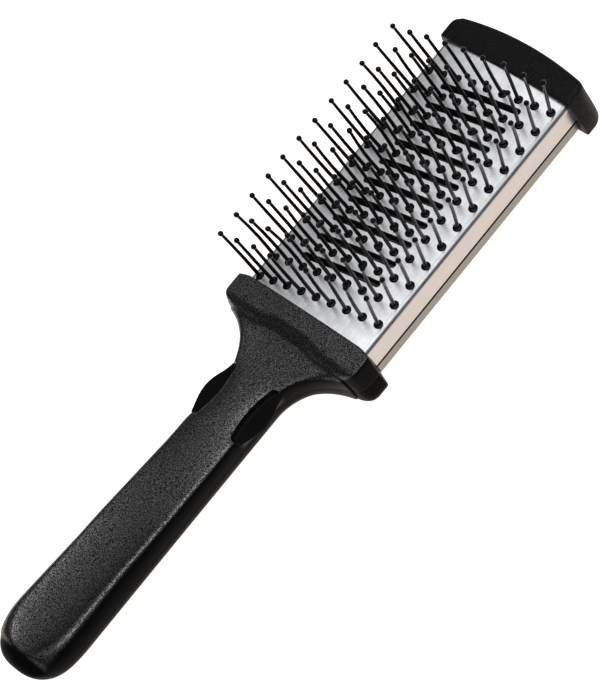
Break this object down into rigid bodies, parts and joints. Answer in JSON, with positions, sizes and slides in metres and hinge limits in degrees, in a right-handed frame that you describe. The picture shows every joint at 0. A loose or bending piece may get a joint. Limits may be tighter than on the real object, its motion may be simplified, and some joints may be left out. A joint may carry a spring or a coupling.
{
  "type": "paddle brush",
  "caption": "Vented paddle hairbrush with a crowned metal plate, ball-tipped pins in slanted rows, an end cap and a long moulded handle.",
  "frame": {"origin": "on the plane that the brush rests on, in the middle of its length and width", "axes": "+Y from the butt of the handle to the end cap, +X to the right with the handle nearest, +Z the way the pins point"},
  "size_m": [0.066, 0.258, 0.0413],
  "materials": {
    "grained_plastic": "fine spark-eroded grain, satin",
    "smooth_plastic": "smooth satin",
    "dark_nylon": "as moulded",
    "gloss_nylon": "glossy",
    "brushed_aluminium": "satin, lightly brushed along the head",
    "steel": "zinc plated",
    "blackened_steel": "blackened"
  },
  "bodies": {
    "root": {"handle_upper_shell": "grained_plastic", "handle_lower_shell": "smooth_plastic", "handle_screws": "steel", "carrier": "dark_nylon", "top_plate": "brushed_aluminium", "pin_bed": "dark_nylon", "back_plate": "brushed_aluminium", "end_cap": "grained_plastic", "cap_screws": "blackened_steel", "pin_row_01": "gloss_nylon", "pin_row_02": "gloss_nylon", "pin_row_03": "gloss_nylon", "pin_row_04": "gloss_nylon", "pin_row_05": "gloss_nylon", "pin_row_06": "gloss_nylon", "pin_row_07": "gloss_nylon", "pin_row_08": "gloss_nylon", "pin_row_09": "gloss_nylon", "pin_row_10": "gloss_nylon", "pin_row_11": "gloss_nylon", "pin_row_12": "gloss_nylon"}
  },
  "joints": []
}
